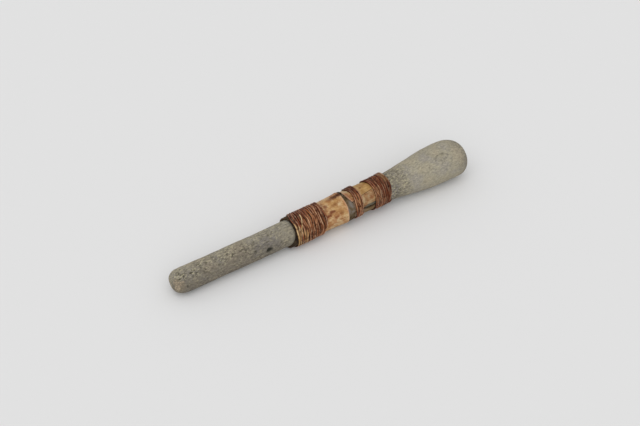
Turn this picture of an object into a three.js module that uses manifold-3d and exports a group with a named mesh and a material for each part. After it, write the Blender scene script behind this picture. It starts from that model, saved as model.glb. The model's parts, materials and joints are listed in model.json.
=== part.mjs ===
// A stone pestle with a grip of bamboo bound in split rattan, lying on its side.
// Millimetres, +Z up, +X towards the broad end, origin under the middle of the object.
// In the pestle frame X runs along the stone's axis from the narrow end face, and roll, in degrees,
// turns round that axis from the front (-Y) up towards the top (+Z).
import * as THREE from "three";
import { mergeVertices } from "three/addons/utils/BufferGeometryUtils.js";
import Module from "manifold-3d";

// The stone
const stoneLength = 350;
const shankRadius = 12.9;
const headRadius = 21.45;
const narrowFaceRadius = 6;
const narrowRoundLength = 10.5;
const broadFaceRadius = 6;
const broadRoundLength = 27;
const flareStart = 229;
const flarePower = 1.5;
const domePower = 2.4;
const restFlatDepth = 0.5;

// Clearances between pieces that touch
const seatClearance = 0.3;
const seamClearance = 0.3;

// The lower casing, a bamboo tube with a node at its upper end
const gripStart = 133;
const lowerCasingLength = 70.2;
const lowerCasingWall = 1.6;
const nodeRise = 1.3;
const nodeSwellLength = 26;
const nodeSwellPower = 1.5;
const nodeBandLength = 8.7;
const scarDepth = 0.3;
const scarLength = 0.5;
const casingEdgeRound = 0.8;
const crackRoll = 102;
const crackLength = 16;
const crackWidth = 3;

// The upper casing, three split staves
const upperCasingLength = 42.7;
const upperCasingWall = 1.55;
const thinnestWall = 0.5;
const topStaveLap = 4.2;
const topSeamRollLow = 52;
const topSeamRollHigh = 76;
const backSeamRoll = 230;
const frontGapRoll = 3;
const frontGapWidthLow = 2;
const frontGapWidthHigh = 3.5;

// The bindings, wound from one width of split rattan
const strandWidth = 1.9;
const strandThickness = 1.4;
const strandGap = 0.5;
const lowerBindingInset = 0.4;
const lowerBindingLength = 38.2;
const paleLoops = 3;
const middleBindingInset = 0.6;
const middleBindingLength = 11.8;
const upperBindingOverhang = 4.5;
const upperBindingLength = 23.8;
const bindingStartRoll = 230;

// How finely curves are divided
const latheSegments = 48;
const roundSteps = 5;
const flareSteps = 16;
const domeSteps = 9;
const swellSteps = 6;
const staveLengthStep = 8;
const staveRollStep = 10;
const loopSteps = 24;
const strandSides = 6;
const joinSteps = 2;

const headCentre = stoneLength - broadRoundLength;
const lowerCasingEnd = gripStart + lowerCasingLength;
const upperCasingStart = lowerCasingEnd + seatClearance;
const upperCasingEnd = upperCasingStart + upperCasingLength;
const topStaveStart = lowerCasingEnd - topStaveLap;
const strandPitch = strandWidth + strandGap;
const fullTurn = 360;

const wasm = await Module();
wasm.setup();

const radians = THREE.MathUtils.degToRad;
const degrees = THREE.MathUtils.radToDeg;

// The direction straight out from the axis at a roll, and the direction in which roll grows.
function outward(roll) {
  return new THREE.Vector3(0, -Math.cos(radians(roll)), Math.sin(radians(roll)));
}

function around(roll) {
  return new THREE.Vector3(0, Math.sin(radians(roll)), Math.cos(radians(roll)));
}

// A revolved outline of [x, radius] pairs, with its axis along X.
function revolve(outline) {
  const points = outline.map(([x, radius]) => new THREE.Vector2(radius, x));
  return new THREE.LatheGeometry(points, latheSegments).rotateZ(-Math.PI / 2);
}

function toSolid(geometry) {
  const bare = geometry.clone();
  bare.deleteAttribute("normal");
  bare.deleteAttribute("uv");
  const merged = mergeVertices(bare);
  const vertProperties = new Float32Array(merged.attributes.position.array);
  const triVerts = new Uint32Array(merged.index.array);
  return new wasm.Manifold(new wasm.Mesh({ numProp: 3, vertProperties, triVerts }));
}

function toGeometry(solid) {
  const mesh = solid.getMesh();
  return meshGeometry(Array.from(mesh.vertProperties), Array.from(mesh.triVerts));
}

function meshGeometry(positions, triangles) {
  const geometry = new THREE.BufferGeometry();
  geometry.setAttribute("position", new THREE.Float32BufferAttribute(positions, 3));
  geometry.setIndex(triangles);
  return geometry;
}

// The dome at the broad end is a superellipse, cut off where it is as narrow as the worn end face.
const domeReach = (1 - (broadFaceRadius / headRadius) ** domePower) ** (1 / domePower);
const domeLength = broadRoundLength / domeReach;

// The stone's radius from the shank to the widest place of the broad end.
function stoneRadius(x) {
  const share = THREE.MathUtils.clamp((x - flareStart) / (headCentre - flareStart), 0, 1);
  return shankRadius + (headRadius - shankRadius) * Math.sin((Math.PI / 2) * share ** flarePower);
}

function stoneOutline() {
  const outline = [[0, 0]];
  for (let i = 0; i <= roundSteps; i += 1) {
    const turn = ((Math.PI / 2) * i) / roundSteps;
    const x = narrowRoundLength * (1 - Math.cos(turn));
    outline.push([x, narrowFaceRadius + (shankRadius - narrowFaceRadius) * Math.sin(turn)]);
  }
  for (let i = 0; i <= flareSteps; i += 1) {
    const x = flareStart + ((headCentre - flareStart) * i) / flareSteps;
    outline.push([x, stoneRadius(x)]);
  }
  const lastTurn = Math.asin(domeReach ** (domePower / 2));
  for (let i = 1; i <= domeSteps; i += 1) {
    const turn = (lastTurn * i) / domeSteps;
    const x = headCentre + domeLength * Math.sin(turn) ** (2 / domePower);
    outline.push([x, headRadius * Math.cos(turn) ** (2 / domePower)]);
  }
  outline.push([stoneLength, 0]);
  return outline;
}

// A curved board round the axis. Its two edges and its two faces may change along its length.
function curvedBoard({ start, end, rollFrom, rollTo, inner, outer }) {
  const rows = Math.max(1, Math.ceil((end - start) / staveLengthStep));
  const columns = Math.ceil((rollTo(end) - rollFrom(end)) / staveRollStep);
  const positions = [];
  for (let row = 0; row <= rows; row += 1) {
    const x = start + ((end - start) * row) / rows;
    for (let column = 0; column <= columns; column += 1) {
      const roll = THREE.MathUtils.lerp(rollFrom(x), rollTo(x), column / columns);
      for (const radius of [inner(x), outer(x)]) {
        const point = outward(roll).multiplyScalar(radius);
        positions.push(x, point.y, point.z);
      }
    }
  }
  const inside = (row, column) => 2 * (row * (columns + 1) + column);
  const outside = (row, column) => inside(row, column) + 1;
  const triangles = [];
  const addQuad = (a, b, c, d) => triangles.push(a, b, c, a, c, d);
  for (let r = 0; r < rows; r += 1) {
    for (let c = 0; c < columns; c += 1) {
      addQuad(outside(r, c), outside(r + 1, c), outside(r + 1, c + 1), outside(r, c + 1));
      addQuad(inside(r, c), inside(r, c + 1), inside(r + 1, c + 1), inside(r + 1, c));
    }
    addQuad(inside(r, 0), inside(r + 1, 0), outside(r + 1, 0), outside(r, 0));
    addQuad(inside(r, columns), outside(r, columns), outside(r + 1, columns), inside(r + 1, columns));
  }
  for (let c = 0; c < columns; c += 1) {
    addQuad(inside(0, c), outside(0, c), outside(0, c + 1), inside(0, c + 1));
    addQuad(inside(rows, c), inside(rows, c + 1), outside(rows, c + 1), outside(rows, c));
  }
  return meshGeometry(positions, triangles);
}

// The lower casing swells towards its node, drops at the scar and runs on as the node's band.
const casingInner = (x) => stoneRadius(x) + seatClearance;
const scarStart = lowerCasingEnd - nodeBandLength;

function lowerCasingOuter(x) {
  const share = THREE.MathUtils.clamp((x - scarStart + nodeSwellLength) / nodeSwellLength, 0, 1);
  return casingInner(x) + lowerCasingWall + nodeRise * share ** nodeSwellPower;
}

function lowerCasing() {
  const swellStart = scarStart - nodeSwellLength;
  const outline = [
    [gripStart, casingInner(gripStart)],
    [gripStart, lowerCasingOuter(gripStart) - casingEdgeRound],
    [gripStart + casingEdgeRound, lowerCasingOuter(gripStart + casingEdgeRound)],
  ];
  for (let i = 0; i <= swellSteps; i += 1) {
    const x = swellStart + (nodeSwellLength * i) / swellSteps;
    outline.push([x, lowerCasingOuter(x)]);
  }
  outline.push([scarStart + scarLength, lowerCasingOuter(scarStart + scarLength) - scarDepth]);
  const roundStart = lowerCasingEnd - casingEdgeRound;
  outline.push([roundStart, lowerCasingOuter(roundStart) - scarDepth]);
  outline.push([lowerCasingEnd, lowerCasingOuter(lowerCasingEnd) - scarDepth - casingEdgeRound]);
  outline.push([lowerCasingEnd, casingInner(lowerCasingEnd)]);
  outline.push(outline[0]);
  const tube = toSolid(revolve(outline));
  return toGeometry(tube.subtract(toSolid(staveSeat())).subtract(toSolid(crack())));
}

// The room that the tube's end leaves for the longer top stave.
function staveSeat() {
  const reach = lowerCasingOuter(lowerCasingEnd) + seatClearance;
  const seatRoll = degrees(seamClearance / casingInner(lowerCasingEnd));
  return curvedBoard({
    start: topStaveStart - seatClearance,
    end: lowerCasingEnd + seatClearance,
    rollFrom: (x) => topSeamRoll(x) - seatRoll / 2,
    rollTo: () => backSeamRoll + seatRoll / 2,
    inner: () => casingInner(lowerCasingEnd) - seatClearance,
    outer: () => reach,
  });
}

// A wedge that opens towards the node and cuts the tube's wall from the axis outwards.
function crack() {
  const tip = topStaveStart - crackLength;
  const wedge = new THREE.Shape();
  wedge.moveTo(tip, 0);
  wedge.lineTo(topStaveStart, -crackWidth / 2);
  wedge.lineTo(topStaveStart, crackWidth / 2);
  const depth = lowerCasingOuter(lowerCasingEnd) + seatClearance;
  const cutter = new THREE.ExtrudeGeometry(wedge, { depth, bevelEnabled: false });
  return cutter.rotateX(radians(90 - crackRoll));
}

// The staves share one outer face. They thin out where the stone starts to flare under them.
function upperCasingOuter(x) {
  const level = casingInner(upperCasingStart) + upperCasingWall;
  return Math.max(level, casingInner(x) + thinnestWall);
}

function halfSeamRoll(x, width) {
  return degrees(width / 2 / casingInner(x));
}

// The seam beside the top stave runs a little askew, and the gap under the front stave widens upwards.
function alongStaves(x, low, high) {
  return THREE.MathUtils.lerp(low, high, (x - upperCasingStart) / upperCasingLength);
}

function topSeamRoll(x) {
  return alongStaves(x, topSeamRollLow, topSeamRollHigh);
}

function frontGapHalf(x) {
  return halfSeamRoll(x, alongStaves(x, frontGapWidthLow, frontGapWidthHigh));
}

function stave(start, rollFrom, rollTo) {
  const end = upperCasingEnd;
  return curvedBoard({ start, end, rollFrom, rollTo, inner: casingInner, outer: upperCasingOuter });
}

function topStave() {
  return stave(
    topStaveStart,
    (x) => topSeamRoll(x) + halfSeamRoll(x, seamClearance),
    (x) => backSeamRoll - halfSeamRoll(x, seamClearance),
  );
}

function frontStave() {
  return stave(
    upperCasingStart,
    (x) => frontGapRoll + frontGapHalf(x),
    (x) => topSeamRoll(x) - halfSeamRoll(x, seamClearance),
  );
}

function underStave() {
  return stave(
    upperCasingStart,
    (x) => backSeamRoll - fullTurn + halfSeamRoll(x, seamClearance),
    (x) => frontGapRoll - frontGapHalf(x),
  );
}

// The steps of the whole loops that fit in a binding of a length, so that both its ends lie at the back.
function stepsInLength(length) {
  return loopSteps * Math.floor((length - strandWidth) / strandPitch);
}

// One unbroken strand wound round a casing, from one step of the helix to another, with straight ends.
function winding(name, bindingStart, carrier, firstStep, lastStep) {
  const rings = [];
  const addRing = (centre, across, out) => {
    const ring = [];
    for (let side = 0; side < strandSides; side += 1) {
      const angle = (2 * Math.PI * side) / strandSides;
      const width = (strandWidth / 2) * Math.cos(angle);
      const height = ((strandThickness / 2) * Math.sin(angle)) / Math.sin(Math.PI / 3);
      ring.push(centre.clone().addScaledVector(across, width).addScaledVector(out, height));
    }
    rings.push(ring);
  };
  for (let step = firstStep; step <= lastStep; step += 1) {
    const roll = bindingStartRoll + (fullTurn * step) / loopSteps;
    const x = bindingStart + strandWidth / 2 + (strandPitch * step) / loopSteps;
    const radius = carrier(x) + seatClearance + strandThickness / 2;
    const out = outward(roll);
    const along = around(roll).multiplyScalar(2 * Math.PI * radius);
    along.x = strandPitch;
    along.normalize();
    const across = new THREE.Vector3().crossVectors(along, out);
    const centre = out.clone().multiplyScalar(radius);
    centre.x = x;
    if (step === firstStep) addRing(centre.clone().addScaledVector(along, -strandWidth), across, out);
    addRing(centre, across, out);
    if (step === lastStep) addRing(centre.clone().addScaledVector(along, strandWidth), across, out);
  }
  const loops = (lastStep - firstStep) / loopSteps;
  console.log(`${name}: ${loops.toFixed(2)} loops, least gap to itself ${leastGap(rings).toFixed(2)} mm`);
  return strandGeometry(rings);
}

// The nearest that points of the strand come to points at least half a loop further on.
function leastGap(rings) {
  let least = Infinity;
  rings.forEach((ring, index) => {
    for (const later of rings.slice(index + loopSteps / 2)) {
      for (const point of ring) {
        for (const other of later) least = Math.min(least, point.distanceTo(other));
      }
    }
  });
  return least;
}

function strandGeometry(rings) {
  const positions = rings.flatMap((ring) => ring.flatMap((point) => point.toArray()));
  const last = (rings.length - 1) * strandSides;
  const triangles = [];
  for (let ring = 0; ring < last; ring += strandSides) {
    for (let side = 0; side < strandSides; side += 1) {
      const a = ring + side;
      const b = ring + ((side + 1) % strandSides);
      triangles.push(a, a + strandSides, b, a + strandSides, b + strandSides, b);
    }
  }
  for (let side = 1; side < strandSides - 1; side += 1) {
    triangles.push(0, side, side + 1);
    triangles.push(last, last + side + 1, last + side);
  }
  return meshGeometry(positions, triangles);
}

// The pale strand and the red-brown one share the lower binding's helix, end to end.
const lowerBindingStart = gripStart + lowerBindingInset;
const paleSteps = paleLoops * loopSteps;
const lowerSteps = stepsInLength(lowerBindingLength);
const middleBindingStart = upperCasingStart + middleBindingInset;
const upperBindingStart = upperCasingEnd + upperBindingOverhang - upperBindingLength;

// The last turns of the upper binding run past the staves, over the stone's neck.
function upperCarrier(x) {
  return Math.max(upperCasingOuter(Math.min(x, upperCasingEnd)), stoneRadius(x));
}

const windings = [
  ["lower_binding_pale_strand", lowerBindingStart, lowerCasingOuter, 0, paleSteps],
  ["lower_binding", lowerBindingStart, lowerCasingOuter, paleSteps + joinSteps, lowerSteps],
  ["middle_binding", middleBindingStart, upperCarrier, 0, stepsInLength(middleBindingLength)],
  ["upper_binding", upperBindingStart, upperCarrier, 0, stepsInLength(upperBindingLength)],
];

const geometries = new Map([
  ["lower_casing", lowerCasing()],
  ["upper_casing_top_stave", topStave()],
  ["upper_casing_front_stave", frontStave()],
  ["upper_casing_under_stave", underStave()],
]);
for (const [name, ...route] of windings) geometries.set(name, winding(name, ...route));

// The pestle lies on a worn flat under its broad end and on whatever else is lowest along the grip and
// shank. The floor is the steepest line from that flat that no point of those pieces lies below.
const wholeStone = revolve(stoneOutline());
const flatHeight = restFlatDepth - headRadius;

function floorSlope() {
  let slope = Infinity;
  for (const geometry of [wholeStone, ...geometries.values()]) {
    const position = geometry.getAttribute("position");
    for (let i = 0; i < position.count; i += 1) {
      const run = headCentre - position.getX(i);
      if (position.getX(i) < flareStart) slope = Math.min(slope, (position.getZ(i) - flatHeight) / run);
    }
  }
  return slope;
}

const tilt = Math.atan(floorSlope());

function pestleStone() {
  const floor = new THREE.BoxGeometry(2 * broadRoundLength, 2 * headRadius, headRadius);
  floor.translate(0, 0, -headRadius / 2).rotateY(tilt).translate(headCentre, 0, flatHeight);
  return toGeometry(toSolid(wholeStone).subtract(toSolid(floor)));
}

geometries.set("pestle_stone", pestleStone());

const stoneFinish = { color: "#8f8a7b", roughness: 0.85, metalness: 0 };
const casingFinish = { color: "#a07a4c", roughness: 0.5, metalness: 0 };
const bindingFinish = { color: "#75452f", roughness: 0.55, metalness: 0 };
const paleStrandFinish = { color: "#b5935f", roughness: 0.6, metalness: 0 };
const finishes = {
  pestle_stone: stoneFinish,
  lower_casing: casingFinish,
  upper_casing_top_stave: casingFinish,
  upper_casing_front_stave: casingFinish,
  upper_casing_under_stave: casingFinish,
  lower_binding_pale_strand: paleStrandFinish,
  lower_binding: bindingFinish,
  middle_binding: bindingFinish,
  upper_binding: bindingFinish,
};

const pestle = new THREE.Group();
for (const [name, finish] of Object.entries(finishes)) {
  const mesh = new THREE.Mesh(geometries.get(name), new THREE.MeshStandardMaterial(finish));
  mesh.name = name;
  pestle.add(mesh);
}

// Turned until the floor is level, then set down on it with the middle of the object over the origin.
pestle.rotation.y = -tilt;
const lying = new THREE.Group().add(pestle);
const box = new THREE.Box3().setFromObject(lying, true);
const middle = box.getCenter(new THREE.Vector3());
pestle.position.set(-middle.x, -middle.y, -box.min.z);

// Places on the flat faces that something can rest against. On an end face the place is half way out
// and between two of the revolved outline's segments.
function endFacePlace(x, radius) {
  const topRoll = 90;
  return outward(topRoll + fullTurn / latheSegments / 2).multiplyScalar(radius / 2).setX(x);
}

lying.updateMatrixWorld(true);
const facePlaces = {
  rest_face: new THREE.Vector3(headCentre, 0, flatHeight),
  narrow_end_face: endFacePlace(0, narrowFaceRadius),
  broad_end_face: endFacePlace(stoneLength, broadFaceRadius),
};
for (const [name, place] of Object.entries(facePlaces)) {
  const point = pestle.localToWorld(place);
  console.log(`${name}: ${point.toArray().map((value) => value.toFixed(2)).join(", ")} mm`);
}
console.log(`tilt: ${degrees(tilt).toFixed(3)} degrees`);

export default lying;
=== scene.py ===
# A stone pestle with a grip of bamboo bound in split rattan, lying on a pale table.
import json
import math

import bmesh
import bpy
from mathutils import Matrix, Vector, noise


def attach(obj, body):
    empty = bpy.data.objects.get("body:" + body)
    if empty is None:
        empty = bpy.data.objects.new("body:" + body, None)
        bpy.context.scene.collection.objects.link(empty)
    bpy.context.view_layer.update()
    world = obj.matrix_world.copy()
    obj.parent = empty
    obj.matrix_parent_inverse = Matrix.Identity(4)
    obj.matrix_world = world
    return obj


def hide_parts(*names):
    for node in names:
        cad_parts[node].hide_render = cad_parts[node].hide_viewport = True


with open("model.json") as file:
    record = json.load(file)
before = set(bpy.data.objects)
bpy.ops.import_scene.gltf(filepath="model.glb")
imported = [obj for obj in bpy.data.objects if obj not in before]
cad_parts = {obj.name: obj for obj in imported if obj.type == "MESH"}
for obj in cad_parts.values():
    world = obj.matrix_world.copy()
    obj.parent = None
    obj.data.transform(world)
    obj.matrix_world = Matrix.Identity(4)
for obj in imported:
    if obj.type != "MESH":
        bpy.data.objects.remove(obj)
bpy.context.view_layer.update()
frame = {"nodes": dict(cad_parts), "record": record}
scene = bpy.context.scene
mm = 0.001
sharpAngle = math.radians(50)
print("frame:", len(frame["nodes"]), "CAD nodes")

# The pestle's own frame, read from the CAD model: station in mm along the axis from the narrow end,
# roll in degrees round it from the front (-Y) up towards the top.
mounts = {mount["name"]: mount for mount in frame["record"]["mounts"]}
axisAlong = Vector(mounts["broad_end_face"]["axis"]).normalized()
axisUp = Vector((-axisAlong.z, 0, axisAlong.x))
stoneCorners = [vertex.co for vertex in frame["nodes"]["pestle_stone"].data.vertices]
narrowEnd = min(corner.dot(axisAlong) for corner in stoneCorners)
faceTolerance = 0.01 * mm
narrowFace = [corner for corner in stoneCorners if corner.dot(axisAlong) - narrowEnd < faceTolerance]
axisStart = sum(narrowFace, Vector()) / len(narrowFace)
axisStart.y = 0
pestleToRow = Matrix((axisAlong, (0, 1, 0), axisUp)).transposed().to_4x4() @ Matrix.Scale(mm, 4)
pestleToRow.translation = axisStart
rowToPestle = pestleToRow.inverted()


# Where a CAD node lies along the axis and how far out it reaches, in mm.
def measure(node):
    points = [rowToPestle @ vertex.co for vertex in frame["nodes"][node].data.vertices]
    stations = [point.x for point in points]
    radii = [math.hypot(point.y, point.z) for point in points]
    return {"start": min(stations), "end": max(stations), "inner": min(radii), "outer": max(radii)}


def cosine(degrees):
    return math.cos(math.radians(degrees))


def sine(degrees):
    return math.sin(math.radians(degrees))


def onAxis(station, radius, roll):
    return Vector((station, -radius * cosine(roll), radius * sine(roll)))


# How much a side of the pestle faces a roll: 1 there, and 0 from a quarter turn on.
def facing(roll, other):
    return max(0, cosine(roll - other))


# The way round from one roll to another, at most half a turn either way.
def turnFrom(other, roll):
    return (roll - other + 180) % 360 - 180


def arcFrom(other, roll, radius):
    return math.radians(turnFrom(other, roll)) * radius


def clamp(value):
    return min(max(value, 0), 1)


def between(low, high, share):
    return low + (high - low) * share


def smooth(low, high, value):
    share = clamp((value - low) / (high - low))
    return share * share * (3 - 2 * share)


# Rises from the first place to the second, and falls from the third to the fourth.
def within(start, full, fade, end, value):
    return smooth(start, full, value) * smooth(end, fade, value)


# Layers of noise, each with a height and a length in mm.
def waves(point, *layers):
    return sum(height * noise.noise(point / length) for height, length in layers)


# Even steps from 0 to a length, with finer ones near both ends for worn edges.
def edgeSteps(length, step, edge):
    fine = [0, 0.12 * edge, 0.35 * edge, 0.65 * edge]
    count = max(2, round((length - 2 * edge) / step))
    even = [edge + (length - 2 * edge) * index / count for index in range(count + 1)]
    return fine + even + [length - offset for offset in reversed(fine)]


# A piece from points in the pestle's frame, in mm, with a value for each point under each mark's name.
def makePiece(name, points, faces, marks, material):
    mesh = bpy.data.meshes.new(name)
    mesh.from_pydata([pestleToRow @ point for point in points], [], faces)
    for label, values in marks.items():
        mesh.attributes.new(label, "FLOAT", "POINT").data.foreach_set("value", values)
    mesh.materials.append(material)
    shaped = bmesh.new()
    shaped.from_mesh(mesh)
    loose = [vertex for vertex in shaped.verts if not vertex.link_faces]
    bmesh.ops.delete(shaped, geom=loose, context="VERTS")
    bmesh.ops.recalc_face_normals(shaped, faces=shaped.faces)
    shaped.to_mesh(mesh)
    shaped.free()
    return linkPiece(name, mesh)


# Nothing sinks into the table: what lies lowest is pressed flat on it.
def linkPiece(name, mesh):
    for vertex in mesh.vertices:
        vertex.co.z = max(vertex.co.z, 0)
    mesh.shade_smooth()
    mesh.set_sharp_from_angle(angle=sharpAngle)
    piece = bpy.data.objects.new(name, mesh)
    scene.collection.objects.link(piece)
    return piece


def linear(colour):
    shares = [int(colour[place : place + 2], 16) / 255 for place in (1, 3, 5)]
    return (*[((share + 0.055) / 1.055) ** 2.4 if share > 0.04045 else share / 12.92 for share in shares], 1)


# Adds a node, sets its properties, links or sets its inputs, and sets its colour stops. A node that is given
# as an input stands for its first output.
def addNode(tree, kind, inputs=None, settings=None, stops=None):
    node = tree.nodes.new(kind)
    for name, value in (settings or {}).items():
        setattr(node, name, value)
    for key, value in (inputs or {}).items():
        if isinstance(value, bpy.types.Node):
            value = value.outputs[0]
        if isinstance(value, bpy.types.NodeSocket):
            tree.links.new(value, node.inputs[key])
        else:
            node.inputs[key].default_value = value
    if stops:
        ramp = node.color_ramp.elements
        while len(ramp) < len(stops):
            ramp.new(0.5)
        for element, (position, colour) in zip(ramp, stops):
            element.position = position
            element.color = linear(colour)
    return node


# A texture scale, per metre, for a pattern of a size in mm.
def perMetre(size):
    return 1 / (size * mm)


# Starts a material that reads its piece's own marks.
def newMaterial(name, *labels):
    material = bpy.data.materials.new(name)
    material.use_nodes = True
    tree = material.node_tree
    tree.nodes.clear()
    marks = {}
    for label in labels:
        marks[label] = addNode(tree, "ShaderNodeAttribute", None, {"attribute_name": label}).outputs["Fac"]
    return material, tree, marks


# Ends a material: lays tones over its ground colour, each by a share, then adds the bump, whose depth is in
# mm, and the shine.
def finishMaterial(tree, colour, layers, relief, strength, depth, shine):
    for share, tone, blend in layers:
        inputs = {0: share, 6: colour, 7: linear(tone) if isinstance(tone, str) else tone}
        settings = {"data_type": "RGBA", "blend_type": blend}
        colour = addNode(tree, "ShaderNodeMix", inputs, settings).outputs[2]
    bump = addNode(tree, "ShaderNodeBump", {"Height": relief, "Strength": strength, "Distance": depth * mm})
    look = {"Base Color": colour, "Normal": bump, **shine}
    shader = addNode(tree, "ShaderNodeBsdfPrincipled", look)
    addNode(tree, "ShaderNodeOutputMaterial", {"Surface": shader})


# Fine-grained grey stone, pecked to shape and rubbed smooth: matt olive grey, tan and violet in clouds, with
# pale and dark grains where it is still rough. The real grain is about 0.5 mm, drawn larger so that it shows.
def peckedStone():
    names = ("rough", "darkening", "stainAndHighlight", "stainAndHighlightTone", "shadeAndMarks")
    material, tree, marks = newMaterial("pecked grey stone", *names)
    place = addNode(tree, "ShaderNodeTexCoord").outputs["Object"]
    drawnOut = addNode(tree, "ShaderNodeMapping", {"Vector": place, "Scale": (0.65, 1, 1)})
    apart = addNode(tree, "ShaderNodeMapping", {"Vector": drawnOut, "Location": (0.3, 0.1, 0.2)})
    patterns, tones, shares = {}, {}, {}
    for name, vector, size, detail, roughness in (
        ("cloud", place, 19, 4.0, 0.55),
        ("grain", drawnOut, 1.5, 3.0, 0.65),
        ("dark", drawnOut, 2.4, 4.0, 0.7),
        ("pale", apart, 1.7, 3.0, 0.7),
    ):
        inputs = {"Vector": vector, "Scale": perMetre(size), "Detail": detail, "Roughness": roughness}
        patterns[name] = addNode(tree, "ShaderNodeTexNoise", inputs)
    for name, share, stops in (
        ("ground", patterns["cloud"], [(0.36, "#938d82"), (0.5, "#98917f"), (0.64, "#a09682")]),
        ("worn", marks["stainAndHighlightTone"], [(0.1, "#655c4c"), (0.5, "#857662"), (0.9, "#b6a48b")]),
    ):
        tones[name] = addNode(tree, "ShaderNodeValToRGB", {"Fac": share}, None, stops)
    for name, more, least in (("grain", 0.45, 0.5), ("dark", 0.95, 0.12), ("pale", 0.95, 0.08)):
        inputs = {0: marks["rough"], 1: more, 2: least}
        shares[name] = addNode(tree, "ShaderNodeMath", inputs, {"operation": "MULTIPLY_ADD"})
    for name, low, high in (("dark", 0.52, 0.37), ("pale", 0.52, 0.61)):
        inputs = {"Value": patterns[name], "From Min": low, "From Max": high}
        spread = addNode(tree, "ShaderNodeMapRange", inputs)
        settings = {"operation": "MULTIPLY", "use_clamp": True}
        shares[name] = addNode(tree, "ShaderNodeMath", {0: spread, 1: shares[name]}, settings)
    layers = (
        (shares["grain"], patterns["grain"], "OVERLAY"),
        (shares["dark"], "#565242", "MIX"),
        (shares["pale"], "#c9c1a0", "MIX"),
        # darker with grime, and on the shank's front with painted shade too
        (marks["darkening"], "#bfbdc1", "MULTIPLY"),
        # the worn flat's stain, dirt from the node, and the painted highlight along the ridge
        (marks["stainAndHighlight"], tones["worn"], "MIX"),
        # painted shade under the casing and in the pit, and dark spots and the scuff
        (marks["shadeAndMarks"], "#2c2a22", "MIX"),
    )
    relief = addNode(tree, "ShaderNodeMix", {0: 0.5, 2: patterns["dark"], 3: patterns["grain"]})
    shine = {"Roughness": 0.85, "IOR": 1.5, "Specular IOR Level": 0.3}
    finishMaterial(tree, tones["ground"], layers, relief, strength=0.6, depth=0.5, shine=shine)
    return material


# Aged bamboo, scraped and split: satin, golden tan with lengthwise fibres, brown flecks, grey at the node.
def agedBamboo():
    names = ("tint", "band", "bandTone", "lip", "fleck", "grime")
    material, tree, marks = newMaterial("aged split bamboo", *names)
    place = addNode(tree, "ShaderNodeTexCoord").outputs["Object"]
    fineness = (perMetre(16), perMetre(1.1), perMetre(1.1))
    lengthwise = addNode(tree, "ShaderNodeMapping", {"Vector": place, "Scale": fineness})
    patterns, tones = {}, {}
    for name, vector, scale, detail in (("fibre", lengthwise, 1.0, 4.0), ("blotch", place, perMetre(7), 3.0)):
        inputs = {"Vector": vector, "Scale": scale, "Detail": detail, "Roughness": 0.6}
        patterns[name] = addNode(tree, "ShaderNodeTexNoise", inputs)
    for name, share, stops in (
        ("golden", patterns["blotch"], [(0.38, "#9b6840"), (0.5, "#b48d65"), (0.62, "#c8b18e")]),
        ("ochre", patterns["blotch"], [(0.3, "#a57e45"), (0.5, "#ba955c"), (0.7, "#c8a873")]),
        ("fibre", patterns["fibre"], [(0.3, "#a88d6c"), (0.48, "#f4ece0"), (0.7, "#ffffff")]),
        ("weathered", marks["bandTone"], [(0.0, "#3f2f18"), (0.4, "#5e4f3a"), (1.0, "#766d65")]),
    ):
        tones[name] = addNode(tree, "ShaderNodeValToRGB", {"Fac": share}, None, stops)
    layers = (
        (marks["tint"], tones["ochre"], "MIX"),
        (0.7, tones["fibre"], "MULTIPLY"),
        (marks["band"], tones["weathered"], "MIX"),
        (marks["lip"], "#d0a284", "MIX"),
        (marks["fleck"], "#6b3414", "MIX"),
        # grime, and painted shade at the tube's mouth, under the bindings and beside the staves' front gap
        (marks["grime"], "#1d130a", "MIX"),
    )
    inputs = {0: marks["grime"], 1: marks["band"]}
    dull = addNode(tree, "ShaderNodeMath", inputs, {"operation": "MAXIMUM"})
    matt = addNode(tree, "ShaderNodeMapRange", {"Value": dull, "To Min": 0.5, "To Max": 0.95})
    shine = {"Roughness": matt, "IOR": 1.5, "Specular IOR Level": 0.25}
    relief = patterns["fibre"]
    finishMaterial(tree, tones["golden"], layers, relief, strength=0.35, depth=0.3, shine=shine)
    return material
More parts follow.
